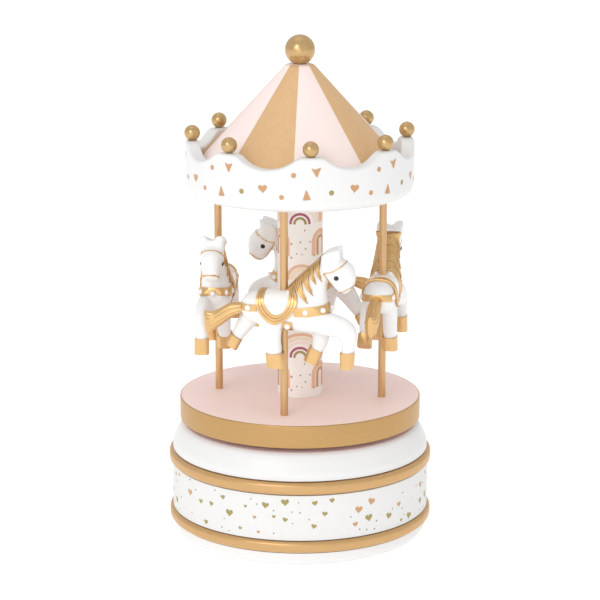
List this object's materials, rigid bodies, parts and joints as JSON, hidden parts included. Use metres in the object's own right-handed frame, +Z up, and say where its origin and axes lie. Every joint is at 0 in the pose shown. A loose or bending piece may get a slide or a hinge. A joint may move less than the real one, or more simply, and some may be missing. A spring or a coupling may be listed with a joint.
{
  "type": "carousel music box",
  "caption": "Wind-up wooden carousel music box: round base with gold beads, turning platform with poles and galloping horses, scalloped crown and striped conical roof",
  "frame": {"origin": "centre of the circle the base stands on, at table height", "axes": "+Z up along the turning axis; -Y is the front, and at rest the first horse stands 10.6 degrees to the left of the front, heading +X"},
  "size_m": [0.105, 0.105, 0.2],
  "materials": {
    "white_paint": "turned wood, satin white paint",
    "pink_paint": "turned wood, pale pink satin paint",
    "gold_paint": "turned wood, satin metallic gold paint",
    "gold_metal": "plain rod, satin gold finish",
    "horse_resin": "cast resin, satin white paint with hand-painted gold trim",
    "heart_paper": "printed paper, matte",
    "column_paper": "printed paper, matte",
    "bare_wood": "bare wood",
    "steel": "bright steel",
    "brass": "machined brass",
    "cast_metal": "die cast, unpolished",
    "nylon": "moulded nylon"
  },
  "bodies": {
    "base": {"base_shell": "white_paint", "lower_bead": "gold_paint", "upper_bead": "gold_paint", "heart_band": "heart_paper", "base_cover": "bare_wood", "shaft_bush": "brass", "movement_bedplate": "cast_metal", "spring_barrel": "steel", "mainspring": "steel", "comb": "steel", "governor_bracket": "cast_metal", "bracket_screw": "steel", "cover_screw_1": "steel", "movement_screw_1": "steel", "cover_screw_2": "steel", "movement_screw_2": "steel", "cover_screw_3": "steel", "movement_screw_3": "steel", "comb_screw_1": "steel", "comb_screw_2": "steel"},
    "carousel": {"platform": "pink_paint", "thrust_washer": "nylon", "hub_plate": "brass", "hub_screw_1": "steel", "hub_screw_2": "steel", "hub_screw_3": "steel", "winding_shaft": "steel", "main_wheel": "brass", "column_core": "bare_wood", "column_wrap": "column_paper", "pole_1": "gold_metal", "pole_2": "gold_metal", "pole_3": "gold_metal", "pole_4": "gold_metal", "horse_1": "horse_resin", "horse_2": "horse_resin", "horse_3": "horse_resin", "horse_4": "horse_resin", "crown": "white_paint", "crown_ball_1": "gold_paint", "crown_ball_2": "gold_paint", "crown_ball_3": "gold_paint", "crown_ball_4": "gold_paint", "crown_ball_5": "gold_paint", "crown_ball_6": "gold_paint", "crown_ball_7": "gold_paint", "crown_ball_8": "gold_paint", "roof_cone": "pink_paint", "finial_ball": "gold_paint", "finial_dowel": "bare_wood"},
    "drum": {"tune_drum": "brass", "drum_arbor": "steel", "drum_pinion": "brass", "drum_gear": "brass"},
    "idler": {"idler_arbor": "steel", "idler_pinion": "brass", "worm_wheel": "nylon"},
    "governor": {"governor_worm": "steel", "governor_fan": "nylon"}
  },
  "joints": [
    {"name": "carousel_spin", "type": "hinge", "parent": "base", "child": "carousel", "pos_m": [0, 0, 0.05], "axis": [0, 0, 1], "continuous": true},
    {"name": "drum_spin", "type": "hinge", "parent": "base", "child": "drum", "pos_m": [0.0224, 0, 0.018], "axis": [1, 0, 0], "continuous": true},
    {"name": "idler_spin", "type": "hinge", "parent": "base", "child": "idler", "pos_m": [0.0254, -0.012, 0.018], "axis": [1, 0, 0], "continuous": true},
    {"name": "governor_spin", "type": "hinge", "parent": "base", "child": "governor", "pos_m": [0.0215, -0.0175, 0.02], "axis": [0, 0, 1], "continuous": true}
  ],
  "couplings": [
    {"joint": "drum_spin", "follows": "carousel_spin", "ratio": -3},
    {"joint": "idler_spin", "follows": "carousel_spin", "ratio": 15},
    {"joint": "governor_spin", "follows": "carousel_spin", "ratio": 240}
  ]
}
